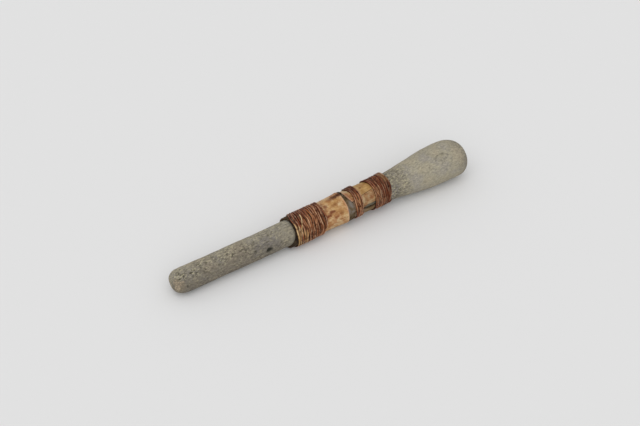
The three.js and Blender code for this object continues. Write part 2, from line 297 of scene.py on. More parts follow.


# Split rattan, wound wet and darkened by hands: satin strands with fibres along them, with a painted
# highlight on the crown and painted shade, near black, on the flanks where they touch. Fresh strands show
# where "pale" is high.
def splitRattan(name, crownHighlightTone, shadeAndDirtTone):
    material, tree, marks = newMaterial(name, "along", "crown", "flank", "pale", "shadeAndDirt")
    place = addNode(tree, "ShaderNodeTexCoord").outputs["Object"]
    patterns, tones, shares = {}, {}, {}
    inputs = {"X": marks["along"], "Y": marks["crown"], "Z": marks["flank"]}
    onStrand = addNode(tree, "ShaderNodeCombineXYZ", inputs)
    for label, vector, fineness, detail, roughness in (
        ("fibre", onStrand, (perMetre(11), 1.6, 1.6), 4.0, 0.65),
        ("length", onStrand, (perMetre(26), 0.15, 0.15), 3.0, 0.6),
        ("dapple", place, (perMetre(4.5), perMetre(4.5), perMetre(4.5)), 2.0, 0.6),
    ):
        drawn = addNode(tree, "ShaderNodeMapping", {"Vector": vector, "Scale": fineness})
        inputs = {"Vector": drawn, "Scale": 1.0, "Detail": detail, "Roughness": roughness}
        patterns[label] = addNode(tree, "ShaderNodeTexNoise", inputs)
    for label, share, stops in (
        ("darkening", patterns["length"], [(0.32, "#4b2110"), (0.5, "#7c3f23"), (0.68, "#a46a40")]),
        ("fresh", patterns["length"], [(0.32, "#80572f"), (0.5, "#b8935f"), (0.68, "#dcc59b")]),
        ("dapple", patterns["dapple"], [(0.34, "#ad9586"), (0.5, "#ffffff")]),
    ):
        tones[label] = addNode(tree, "ShaderNodeValToRGB", {"Fac": share}, None, stops)
    # The crown's painted highlight and the flanks' painted shade follow this ridge.
    inputs = {0: patterns["fibre"], 1: 0.9, 2: marks["crown"]}
    ridge = addNode(tree, "ShaderNodeMath", inputs, {"operation": "MULTIPLY_ADD"})
    for label, low, high, most in (("worn", 1.36, 1.58, 0.9), ("side", 1.15, 0.55, 0.95)):
        inputs = {"Value": ridge, "From Min": low, "From Max": high, "To Max": most}
        settings = {"interpolation_type": "SMOOTHSTEP"}
        shares[label] = addNode(tree, "ShaderNodeMapRange", inputs, settings)
    # Near black where painted shade falls on the flanks and on the deep loops, and where dirt lies.
    inputs = {0: shares["side"], 1: marks["shadeAndDirt"]}
    flankShadeAndDirt = addNode(tree, "ShaderNodeMath", inputs, {"operation": "MAXIMUM"})
    layers = (
        (marks["pale"], tones["fresh"], "MIX"),
        (shares["worn"], crownHighlightTone, "MIX"),
        (1.0, tones["dapple"], "MULTIPLY"),
        (flankShadeAndDirt, shadeAndDirtTone, "MIX"),
    )
    shine = {"Roughness": 0.5, "IOR": 1.5, "Specular IOR Level": 0.12}
    relief = patterns["fibre"]
    finishMaterial(tree, tones["darkening"], layers, relief, strength=0.6, depth=0.3, shine=shine)
    return material


stoneFinish = peckedStone()
bambooFinish = agedBamboo()
rattanFinish = splitRattan("red-brown split rattan", "#dbbb9a", "#180904")
paleFinish = splitRattan("pale split rattan", "#ecd8b6", "#180a04")
print("materials: 4 finishes")

stone = {
    "shankRadius": 12.9,
    "headRadius": 21.45,
    "flareStart": 229,
    "flarePower": 1.5,
    "narrowFace": 6,
    "narrowRound": 10.5,
    "broadFace": 6,
    "broadRound": 27,
    "domePower": 2.4,
    "rowStep": 1.0,
    "roundRows": 14,
    "domeRows": 30,
    "columns": 160,
    "faceRings": (0.35, 0.7),
    "relief": ((0.3, 34), (0.07, 2.4), (0.04, 1.2)),  # heights and lengths of its unevenness
    "dents": 0.16,
    "dentLength": 9,
    "lowerRoll": -43,  # the shank bows this way, and the head the other way
    "sway": 0.5,
    "swayStation": 95,
    "swayReach": 50,
    "headSway": 0.3,
    "headSwayStations": (270, 320, 330, 350),
    "cornerFull": 1.9,  # the broad end is fuller at its lower corner, and flatter before it
    "cornerStations": (329, 342),
    "bellyFlat": 0.5,
    "bellyStations": (296, 314, 322, 336),
    "heelDepth": 1.5,  # the narrow end is worn away a little underneath
    "heelRoll": -70,
    "heelStations": (16, 0),
    "facets": 5,
    "facetDepth": 0.3,
    "facetTurn": 40,
    "facetWaver": 60,
    "facetWaverLength": 70,
    "facetStations": (150, 90),
    "neckStations": (226, 246, 254, 282),  # the neck is left rough
    "neckRelief": 0.32,
    "neckPecks": 2.8,
    "pitStation": 102.4,
    "pitRoll": 6,
    "pitLength": 4.0,
    "pitWidth": 3.2,
    "pitDepth": 1.5,
    "pitEdge": (1.15, 0.55),  # shares of its size over which it sinks
    "bevelRoll": 18,  # a worn flat on the narrow end's edge, with a painted highlight along the ridge above it
    "bevelLean": 48,
    "bevelDepth": 2.1,
    "bevelWorn": (-1.6, 0.8),
    "tipStations": (5, 2),
    "ridgeRoll": 39,
    "ridgeWidth": (1, 0.3),
    "ridgeStations": (2, 4, 8, 11),
    "roughRoll": 68,  # a strip of the shank that is left rough
    "roughTurns": (48, 12),
    "roughStations": (116, 70),
    "shankRough": 0.5,
    "shankRoughStations": (136, 128),
    "broadRough": 0.45,
    "broadRoughStations": (330, 344),
    "leastRough": 0.15,
    "frontDarkRoll": -8,  # where the shank is darkest, with grime and painted shade
    "shankDarkStations": (215, 120),
    "cleanStations": (108, 122),
    "endGrimeStations": (326, 346),
    "coveredStations": (128, 137, 243, 246),  # painted shade and dirt under the casing and just before its mouth, with dirt from the node on
    "dirtStations": (205, 210),
    "scuff": {"station": 313.9, "roll": 60, "length": 6.8, "width": 3.3, "strength": 0.6},
    "spots": [  # station, roll, length, width, strength and lean of dark marks
        (87.2, 31, 1.5, 1.1, 0.8, 0),
        (106.3, 74, 1.2, 0.9, 0.6, 0),
        (296.5, 45, 1.0, 0.9, 0.6, 0),
        (40, 205, 2.2, 1.4, 0.6, 0),
        (281, 160, 1.8, 1.3, 0.5, 0),
        (318, 250, 1.6, 1.4, 0.5, 0),
    ],
}
stoneSize = measure("pestle_stone")


# How strongly a dark mark lies at a place, with a ragged edge.
def markShare(point, station, roll, spots, radius):
    most = 0
    for spotStation, spotRoll, length, width, strength, lean in spots:
        rise = arcFrom(spotRoll, roll, radius)
        run = station - spotStation + lean * rise
        ragged = math.hypot(run / length, rise / width) + waves(point, (0.45, 1.9), (0.25, 0.9))
        most = max(most, strength * smooth(1.35, 0.4, ragged))
    return most


# Radius of the shank and the swelling head, up to the broad end's dome.
def stoneRadiusAt(station):
    headCentre = stoneSize["end"] - stone["broadRound"]
    share = clamp((station - stone["flareStart"]) / (headCentre - stone["flareStart"]))
    swell = math.sin(math.pi / 2 * share ** stone["flarePower"])
    return between(stone["shankRadius"], stone["headRadius"], swell)


# The stone's outline as (station, radius), from the edge of one worn end face to the other's.
def stoneOutline():
    size = stone
    outline = []
    for row in range(size["roundRows"] + 1):
        turn = math.pi / 2 * row / size["roundRows"]
        radius = between(size["narrowFace"], size["shankRadius"], math.sin(turn))
        outline.append((size["narrowRound"] * (1 - math.cos(turn)), radius))
    headCentre = stoneSize["end"] - size["broadRound"]
    rows = round((headCentre - size["narrowRound"]) / size["rowStep"])
    for row in range(1, rows + 1):
        station = between(size["narrowRound"], headCentre, row / rows)
        outline.append((station, stoneRadiusAt(station)))
    power = size["domePower"]
    reach = (1 - (size["broadFace"] / size["headRadius"]) ** power) ** (1 / power)
    lastTurn = math.asin(reach ** (power / 2))
    for row in range(1, size["domeRows"] + 1):
        turn = lastTurn * row / size["domeRows"]
        station = headCentre + size["broadRound"] / reach * math.sin(turn) ** (2 / power)
        outline.append((station, size["headRadius"] * math.cos(turn) ** (2 / power)))
    return outline


def neckShare(station):
    return within(*stone["neckStations"], station)


def pitShare(point, station, roll):
    run = (station - stone["pitStation"]) / stone["pitLength"]
    rise = arcFrom(stone["pitRoll"], roll, stone["shankRadius"]) / stone["pitWidth"]
    return smooth(*stone["pitEdge"], math.hypot(run, rise) + 0.2 * noise.noise(point / 1.6))


# How far the worn surface lies in or out of the true outline, in mm.
def stoneRelief(point, station, roll):
    size = stone
    relief = waves(point, *size["relief"])
    relief += size["dents"] * noise.noise(point / size["dentLength"] + Vector((7, 3, 1)))
    waver = size["facetWaver"] * noise.noise(Vector((station / size["facetWaverLength"], 5, 0)))
    facet = 0.5 + 0.5 * cosine(size["facets"] * roll + size["facetTurn"] + waver)
    relief -= size["facetDepth"] * facet * smooth(*size["facetStations"], station)
    pecks = noise.noise(point / size["neckPecks"] + Vector((2, 9, 4)))
    relief += neckShare(station) * size["neckRelief"] * pecks
    relief -= size["pitDepth"] * pitShare(point, station, roll)
    lower = facing(roll, size["lowerRoll"])
    relief += lower * size["cornerFull"] * smooth(*size["cornerStations"], station)
    relief -= lower**3 * size["bellyFlat"] * within(*size["bellyStations"], station)
    relief -= facing(roll, size["heelRoll"]) * size["heelDepth"] * smooth(*size["heelStations"], station)
    return relief


# Grime from hands lies on the neck and the pounding end, and on the shank, darker towards its front; that
# darkening of the shank's front is painted shade as well as grime.
def darkeningShare(point, station, roll):
    front = 0.5 + 0.5 * cosine(roll - stone["frontDarkRoll"])
    patchy = waves(point, (0.5, 14), (0.25, 5))
    clean = 1 - 0.45 * smooth(*stone["cleanStations"], station)
    shank = clean * smooth(*stone["shankDarkStations"], station) * (0.2 + front**1.3 + 0.5 * patchy)
    end = smooth(*stone["endGrimeStations"], station) * (0.7 + 0.8 * patchy)
    return clamp(max(shank, 0.75 * neckShare(station), end))


# How much of the pecking is left: on the neck, along a strip of the shank and on the broad end.
def roughShare(point, station, roll):
    strip = smooth(*stone["roughTurns"], abs(turnFrom(stone["roughRoll"], roll)))
    strip *= 0.9 * smooth(*stone["roughStations"], station)
    shank = stone["shankRough"] * smooth(*stone["shankRoughStations"], station)
    broadEnd = stone["broadRough"] * smooth(*stone["broadRoughStations"], station)
    most = max(neckShare(station), strip, shank, broadEnd, stone["leastRough"])
    return min(most * (0.9 + 0.7 * noise.noise(point / 8)), 1)


# Distance of a place beyond the bevel's plane, in mm, and the plane's outward direction.
def beyondBevel(point):
    across, along = stone["shankRadius"] - stone["narrowFace"], stone["narrowRound"]
    lean, roll = stone["bevelLean"], stone["bevelRoll"]
    outward = onAxis(-cosine(lean), sine(lean), roll)
    reach = math.hypot(across * sine(lean), along * cosine(lean))
    corner = onAxis(along, stone["narrowFace"], roll)
    return (point - corner).dot(outward) - reach + stone["bevelDepth"], outward


# A painted highlight along the ridge at the worn flat's upper edge.
def ridgeHighlightShare(point, station, roll):
    rise = arcFrom(stone["ridgeRoll"], roll, stone["shankRadius"])
    edge = smooth(*stone["ridgeWidth"], abs(rise + 0.6 * noise.noise(point / 2)))
    return edge * within(*stone["ridgeStations"], station)


# A faint dark ring rubbed into the head.
def scuffShare(point, station, roll):
    scuff = stone["scuff"]
    run = (station - scuff["station"]) / scuff["length"]
    rise = arcFrom(scuff["roll"], roll, stone["headRadius"]) / scuff["width"]
    ring = abs(math.hypot(run, rise) - 1 + 0.3 * noise.noise(point / 2.5))
    return scuff["strength"] * smooth(0.45, 0, ring) * (0.45 + 1.1 * noise.noise(point / 2.2))


# What the stone's finish is told at a place. beyond says how far the bevel has been worn into it.
def stoneMarks(point, station, roll, radius, beyond):
    worn = smooth(*stone["bevelWorn"], beyond + 1.6 * noise.noise(point / 3.5))
    ridge = ridgeHighlightShare(point, station, roll)
    tip = smooth(*stone["tipStations"], station + 1.5 * noise.noise(point / 3))
    covered = within(*stone["coveredStations"], station)
    dirt = covered * smooth(*stone["dirtStations"], station)
    spots = markShare(point, station, roll, stone["spots"], radius)
    pit, scuff = pitShare(point, station, roll), scuffShare(point, station, roll)
    return {
        "darkening": darkeningShare(point, station, roll) * (1 - 0.4 * worn),
        "rough": roughShare(point, station, roll),
        # stain of the worn flat and dirt, and the painted highlight along the ridge
        "stainAndHighlight": clamp(max(0.7 * worn, 0.8 * ridge, 0.7 * dirt)),
        "stainAndHighlightTone": clamp(0.15 + 0.4 * tip + 0.55 * ridge + waves(point, (0.6, 1.5), (0.5, 0.8))),
        # painted shade in the pit and under the casing, and dark spots and the scuff
        "shadeAndMarks": max(pit, 0.55 * covered - 0.35 * dirt, spots, scuff),
    }


def makeStone():
    size = stone
    outline = stoneOutline()
    (firstStation, firstRadius), (lastStation, lastRadius) = outline[0], outline[-1]
    rings = [(firstStation, firstRadius * share) for share in size["faceRings"]] + outline
    rings += [(lastStation, lastRadius * share) for share in reversed(size["faceRings"])]
    columns = size["columns"]
    points, marks, faces = [], {}, []
    for station, radius in rings:
        bow = size["sway"] * math.exp(-(((station - size["swayStation"]) / size["swayReach"]) ** 2))
        bow -= size["headSway"] * within(*size["headSwayStations"], station)
        shift = onAxis(0, bow, size["lowerRoll"])
        for column in range(columns):
            roll = 360 * column / columns
            point = onAxis(station, radius, roll)
            relief = stoneRelief(point, station, roll) * min(1, radius / size["shankRadius"])
            place = onAxis(station, radius + relief, roll)
            beyond, outward = beyondBevel(place)
            points.append(place - max(beyond, 0) * outward + shift)
            for label, value in stoneMarks(point, station, roll, radius, beyond).items():
                marks.setdefault(label, []).append(value)
    lastRing = len(points) - columns
    for low in range(0, lastRing, columns):
        high = low + columns
        for column in range(columns):
            following = (column + 1) % columns
            faces.append((low + column, high + column, high + following, low + following))
    for low, station in ((0, firstStation), (lastRing, lastStation)):
        faces += [(len(points), low + column, low + (column + 1) % columns) for column in range(columns)]
        points.append(Vector((station, 0, 0)))
        for values in marks.values():
            values.append(values[low])
    return makePiece("stone_body", points, faces, marks, stoneFinish)


stonePiece = makeStone()
print("stone:", len(stonePiece.data.polygons), "faces")


# A curved wall round the axis, from a grid of columns and offsets. spot gives a grid place's station and
# roll, walls its inner and outer radius, split whether a closed tube is open at an offset.
def makeShell(name, columns, offsets, spot, walls, colourMarks, split=None):
    rows, sides = len(offsets), len(columns)
    points, marks, faces = [], {}, []
    for offset in offsets:
        for column in columns:
            station, roll = spot(column, offset)
            inner, outer = walls(station, roll, column, offset)
            values = colourMarks(onAxis(station, outer, roll), station, roll)
            for radius in (inner, outer):
                points.append(onAxis(station, radius, roll))
                for label, value in values.items():
                    marks.setdefault(label, []).append(value)

    def corner(row, side, outside):
        closed = split is not None and side == sides - 1 and not split(offsets[row])
        return 2 * (row * sides + (0 if closed else side)) + outside

    def through(first, second):
        return (corner(*first, 0), corner(*first, 1), corner(*second, 1), corner(*second, 0))

    for row in range(rows - 1):
        for side in range(sides - 1):
            places = ((row, side), (row + 1, side), (row + 1, side + 1), (row, side + 1))
            faces += [[corner(*place, outside) for place in places] for outside in (0, 1)]
        if split is None or split(offsets[row + 1]):
            faces += [through((row, side), (row + 1, side)) for side in (0, sides - 1)]
    for row in (0, rows - 1):
        faces += [through((row, side), (row, side + 1)) for side in range(sides - 1)]
    return makePiece(name, points, faces, marks, bambooFinish)


casing = {
    "topRoll": 125,  # the casing and its bindings stand a little higher here, more so on the staves
    "tubeRise": 0.3,
    "staveRise": 0.55,
    "riseStations": (185, 205),
    "underRoll": -35,  # and they are fuller on the lower front side, most of all at the lower binding
    "underRise": 1.5,
    "underStations": (215, 140),
    "fibreRidge": 0.12,
}


# How far the casing stands out of round.
def casingRise(station, roll):
    top = between(casing["tubeRise"], casing["staveRise"], smooth(*casing["riseStations"], station))
    under = casing["underRise"] * smooth(*casing["underStations"], station)
    return facing(roll, casing["topRoll"]) * top + facing(roll, casing["underRoll"]) ** 4 * under


# Ridges of the bamboo's fibres, of a length and width in mm.
def fibreRidges(place, length, width):
    drawn = Vector((place.x / length, place.y / width, place.z / width))
    return casing["fibreRidge"] * noise.noise(drawn)


# How far a rounded edge lies below the surface, at a distance from it.
def wornEdge(distance, edge):
    near = max(0, 1 - distance / edge)
    return edge * (1 - math.sqrt(max(0, 1 - near**2)))


tube = {
    "wall": 1.6,
    "waviness": 0.3,
    "waveLength": 11,
    "fibres": (14, 1.3),
    "nodeRise": 1.3,
    "swellLength": 26,
    "swellPower": 1.5,
    "bandLength": 8.2,
    "scarDepth": 0.35,
    "scarLength": 0.5,
    "scarRipple": 0.8,
    "lipRise": 0.25,
    "lipLength": 1.1,
    "lipBack": 0.4,
    "edge": 0.8,
    "mouthSkew": 13,  # the slanting mouth reaches further away from its front, at most to these limits
    "mouthPower": 1.6,
    "mouthRoll": 62,
    "mouthLimitUnder": 9,
    "mouthLimitTop": 3.2,
    "mouthReach": 9,
    "lap": 4.5,  # the top stave's end lies over the node, between these rolls
    "lapFrom": 48,
    "lapTo": 231,
    "lapStep": 0.3,
    "lapSlant": 4.1,  # how much further back the lap's end starts at lapFrom than at lapSlantTo
    "lapSlantTo": 118,
    "crackRoll": 102,
    "crackRadius": 15.5,
    "crackLength": 16,
    "crackWidth": 2,
    "crackTip": 0.03,  # share of its length where it first opens
    "crackDark": (4.2, 1.2),  # dark beside it, and from these places before the tube's end
    "crackDarkFrom": (-25.5, -14),
    "rimDark": (2.6, 0.6),  # painted shade and grime at the mouth
    "boundBack": 4.0,  # how far the lower binding is drawn back underneath, round this roll
    "boundRoll": -35,
    "boundSpread": 65,
    "boundDark": (-0.3, -1.7),  # painted shade and grime under its last turn
    "greyRoll": 34,  # where the node's band is grey, and not brown
    "greyTurns": (44, 14),
    "frontRoll": 28,  # where the grime and painted shade under the bindings are deepest
    "columns": 180,
    "rowStep": 0.6,
    "spots": [  # station, roll, length, width, strength and lean of brown flecks
        (173.4, 36, 3.2, 1.5, 0.95, 0.6),
        (178.2, 47, 3.6, 1.7, 0.95, 0.5),
        (175.6, 43, 2.6, 1.3, 0.8, 0),
        (173.6, 77, 2.6, 2.2, 0.8, 0),
        (172.4, 62, 1.6, 2.4, 0.6, 0),
        (172.0, 92, 1.8, 2.6, 0.6, 0),
        (183.5, 68, 4.5, 2.2, 0.35, 0),
        (187.5, 30, 3.0, 2.0, 0.4, 0),
        (181.0, 20, 3.0, 1.2, 0.4, 0),
        (180.0, 150, 2.4, 1.2, 0.7, 0),
        (188.0, 205, 3.0, 1.0, 0.6, 0),
        (176.0, 260, 2.4, 1.0, 0.6, 0),
        (187.0, 310, 2.0, 1.0, 0.5, 0),
    ],
    "spotRadius": 15.3,
}
tubeSize = measure("lower_casing")
lapStart = tubeSize["end"] - tube["lap"]


def scarStation(roll):
    ripple = noise.noise(Vector((1.6 * cosine(roll), 1.6 * sine(roll), 8)))
    return tubeSize["end"] - tube["bandLength"] + tube["scarRipple"] * ripple


# How far the top stave's end is cut back, so that more of the node shows near its front edge.
def lapCut(roll):
    share = clamp((tube["lapSlantTo"] - roll) / (tube["lapSlantTo"] - tube["lapFrom"]))
    return tube["lapSlant"] * share**3


def tubeOuter(station, roll):
    size = tube
    scar = scarStation(roll)
    share = clamp((station - scar + size["swellLength"]) / size["swellLength"])
    radius = tubeSize["inner"] + size["wall"] + size["nodeRise"] * share ** size["swellPower"]
    lip = size["lipRise"] * math.exp(-(((station - scar + size["lipBack"]) / size["lipLength"]) ** 2))
    radius += lip * (station < scar)
    radius -= size["scarDepth"] * smooth(scar, scar + size["scarLength"], station)
    place = onAxis(station, radius, roll)
    radius += casingRise(station, roll) + size["waviness"] * noise.noise(place / size["waveLength"])
    return radius + fibreRidges(place, *size["fibres"])


# Half the crack's width, in degrees.
def crackHalf(station):
    opened = (station - lapStart + tube["crackLength"]) / tube["crackLength"]
    if opened < tube["crackTip"]:
        return 0
    ragged = 1 + 0.35 * noise.noise(Vector((station / 2.2, 4, 4)))
    return math.degrees(tube["crackWidth"] / 2 * opened * ragged / tubeSize["outer"])


def makeTube():
    size = tube
    start, end = tubeSize["start"], tubeSize["end"]
    length = end - start
    boundEnd = measure("lower_binding")["end"]
    rolls = [size["crackRoll"] + 360 * index / size["columns"] for index in range(size["columns"] + 1)]
    for step in (size["lapFrom"] + 360, size["lapTo"]):
        rolls += [step - size["lapStep"], step + size["lapStep"]]
    rolls.sort()
    offsets = edgeSteps(length, size["rowStep"], size["edge"])

    def spot(roll, offset):
        onLap = size["lapFrom"] < roll % 360 < size["lapTo"]
        reach = (min(end, lapStart + lapCut(roll % 360)) if onLap else end) - start
        skew = size["mouthSkew"] * (0.5 - 0.5 * cosine(roll - size["mouthRoll"])) ** size["mouthPower"]
        top = 0.5 + 0.5 * sine(roll - size["mouthRoll"])
        limit = between(size["mouthLimitUnder"], size["mouthLimitTop"], top)
        skew /= (1 + (skew / limit) ** 3) ** (1 / 3)
        mouth = 0.5 * noise.noise(onAxis(0, 14, roll) / 6) - skew
        station = start + offset * reach / length + mouth * smooth(size["mouthReach"], 0, offset)
        middle = size["crackRoll"] + 180
        return station, middle + (roll - middle) * (1 - crackHalf(station) / 180)

    def walls(station, roll, column, offset):
        worn = wornEdge(offset, size["edge"]) + wornEdge(length - offset, size["edge"])
        return tubeSize["inner"], tubeOuter(station, roll) - worn

    def marks(point, station, roll):
        scar = scarStation(roll)
        band = smooth(scar - 0.1, scar + 0.4, station)
        grey = smooth(*size["greyTurns"], abs(turnFrom(size["greyRoll"], roll)))
        patch = waves(point, (1, 3.2), (0.5, 1.3))
        front = cosine(roll - size["frontRoll"])
        rim = smooth(*size["rimDark"], station - start)
        drawnBack = smooth(size["boundSpread"], 0, abs(turnFrom(size["boundRoll"], roll)))
        lastTurn = boundEnd - size["boundBack"] * drawnBack
        bound = smooth(*size["boundDark"], station - lastTurn)
        beside = abs(arcFrom(size["crackRoll"], roll, size["crackRadius"]))
        crack = smooth(*size["crackDark"], beside + 1.8 * noise.noise(point / 2.2))
        crack *= smooth(*size["crackDarkFrom"], station - end)
        flecks = markShare(point, station, roll, size["spots"], size["spotRadius"])
        return {
            "tint": 0.3 + 0.6 * noise.noise(point / 8),
            "band": band,
            "bandTone": clamp(0.14 + 0.5 * grey + 0.6 * patch),
            "lip": 0.55 * math.exp(-(((station - scar + 0.5) / 0.6) ** 2)) * (1 - band),
            "fleck": max(flecks, 0.85 * crack) * (1 - band),
            # The mouth and the lower binding's last turn darken with painted shade and grime.
            "grime": max(max(rim, bound) * (0.9 + 0.08 * front + 0.08 * patch), 0.45 * crack),
        }

    def split(offset):
        return crackHalf(spot(size["crackRoll"], offset)[0]) > 0

    return makeShell("bamboo_tube", rolls, offsets, spot, walls, marks, split)


tubePiece = makeTube()
print("bamboo tube:", len(tubePiece.data.polygons), "faces")

staves = {
    "wall": 1.55,
    "waviness": 0.2,
    "waveLength": 9,
    "fibres": (12, 1.2),
    "edge": 0.5,
    "seam": 0.2,
    "topSeamLow": 52,
    "topSeamHigh": 76,
    "backSeam": 230,
    "frontGap": 4,
    "frontGapLow": 0.4,
    "frontGapHigh": 3.9,
    "frontGapOpens": (212, 219.5),
    "gapArc": 0.26,  # mm for each degree beside the front gap
    "rollStep": 2.5,
    "rowStep": 0.7,
    "thinnestWall": 0.5,
    "thinnestEdge": 0.2,
    "stoneClearance": 0.3,
    "cutReach": 14,  # how far along the top stave its slanting end fades out
    "cornerSeam": 1.4,  # the seam beside the top stave widens by this at its lower corner
    "cornerStations": (209, 204),
    "dirtStations": (206.9, 206.1),  # dirt from the node runs on to here on the front and under staves
    "gapDark": (1.0, 0.3),  # painted shade beside the front gap, and pale along the seams
    "seamPale": (0.9, 0.2),
    "endPale": (1.8, 0.4),  # the staves' lower ends are pale, and the top one's then orange
    "endOrange": (7, 4),
    "boundFrom": (30, 32),  # the upper binding covers the staves from here, in mm from their start, with grime and painted shade under it
    "greyStations": (224, 214),
    "spotRadius": 14.7,
}
frontSize = measure("upper_casing_front_stave")


def seamHalf(width):
    return math.degrees(width / 2 / frontSize["inner"])


def topSeam(station):
    share = (station - frontSize["start"]) / (frontSize["end"] - frontSize["start"])
    return between(staves["topSeamLow"], staves["topSeamHigh"], share)


def frontGapHalf(station):
    opened = smooth(*staves["frontGapOpens"], station)
    return seamHalf(between(staves["frontGapLow"], staves["frontGapHigh"], opened))


# One stave, between two rolls that change along it. tint is how ochre it is, age how dirty and grey how
# weathered. overlaps says whether its slanting end lies on the node.
def makeStave(name, node, rollFrom, rollTo, tint, age, grey=0, overlaps=False, spots=()):
    size = staves
    edge = size["edge"]
    reach = measure(node)
    start, length, outermost = reach["start"], reach["end"] - reach["start"], reach["outer"]
    offsets = edgeSteps(length, size["rowStep"], edge)
    span = math.radians(rollTo(start) - rollFrom(start)) * outermost
    steps = edgeSteps(span, math.radians(size["rollStep"]) * outermost, edge)
    columns = [step / span for step in steps]

    def cutAt(roll):
        return lapCut(roll) if overlaps else 0

    def spot(column, offset):
        roll = between(rollFrom(start + offset), rollTo(start + offset), column)
        return start + offset + cutAt(roll) * smooth(size["cutReach"], 0, offset), roll

    def walls(station, roll, column, offset):
        inner = stoneRadiusAt(station) + size["stoneClearance"]
        outer = max(frontSize["inner"] + size["wall"], inner + size["thinnestWall"])
        place = onAxis(station, outer, roll)
        outer += casingRise(station, roll) + size["waviness"] * noise.noise(place / size["waveLength"])
        outer += fibreRidges(place, *size["fibres"])
        toEdges = (offset, length - offset, min(column, 1 - column) * span)
        worn = sum(wornEdge(distance, edge) for distance in toEdges)
        return inner, max(inner + size["thinnestEdge"], outer - worn)

    def marks(point, station, roll):
        low, high = rollFrom(station), rollTo(station)
        toEdge = math.radians(min(roll - low, high - roll)) * outermost
        seam = 0.3 * smooth(*size["seamPale"], toEdge)
        fromEnd = station - start - cutAt(roll)
        orange = smooth(*size["endOrange"], fromEnd) * overlaps
        gapHalf = size["gapArc"] * min(abs(low - size["frontGap"]), abs(high - size["frontGap"]))
        toGap = math.radians(abs(roll - size["frontGap"])) * outermost - gapHalf
        # Painted shade beside the front gap, which joins the staves' dirt.
        gapShade = 0.75 * smooth(*size["gapDark"], toGap) * (not overlaps)
        dirt = max(age * max(0.3 + 0.3 * noise.noise(point / 4), 0.24), gapShade)
        fromNode = smooth(*size["dirtStations"], station) * (not overlaps)
        greyed = 0.9 * grey * smooth(*size["greyStations"], station)
        return {
            "tint": clamp(tint + 0.3 * noise.noise(point / 7)) * (1 - orange),
            "band": max(fromNode, grey),
            "bandTone": clamp(0.35 + greyed + 0.5 * noise.noise(point / 2)),
            "lip": 0.6 * smooth(*size["endPale"], fromEnd) + seam * (1 - age),
            "fleck": markShare(point, station, roll, spots, size["spotRadius"]),
            "grime": clamp(max(0.5 * smooth(*size["boundFrom"], station - start), dirt)),
        }

    return makeShell(name, columns, offsets, spot, walls, marks)


topStave = makeStave(
    "stave_top",
    "upper_casing_top_stave",
    lambda station: topSeam(station) + seamHalf(staves["seam"]),
    lambda station: staves["backSeam"] - seamHalf(staves["seam"]),
    tint=0.85,
    age=0.5,
    overlaps=True,
    spots=[(218.5, 92, 1.3, 1.2, 0.75, 0)],
)
frontStave = makeStave(
    "stave_front",
    "upper_casing_front_stave",
    lambda station: staves["frontGap"] + frontGapHalf(station),
    lambda station: topSeam(station)
    - seamHalf(staves["seam"] + staves["cornerSeam"] * smooth(*staves["cornerStations"], station)),
    tint=0.1,
    age=1,
)
underStave = makeStave(
    "stave_under",
    "upper_casing_under_stave",
    lambda station: staves["backSeam"] - 360 + seamHalf(staves["seam"]),
    lambda station: staves["frontGap"] - frontGapHalf(station),
    tint=1,
    age=1,
    grey=0.6,
)
print("staves: 3 pieces")


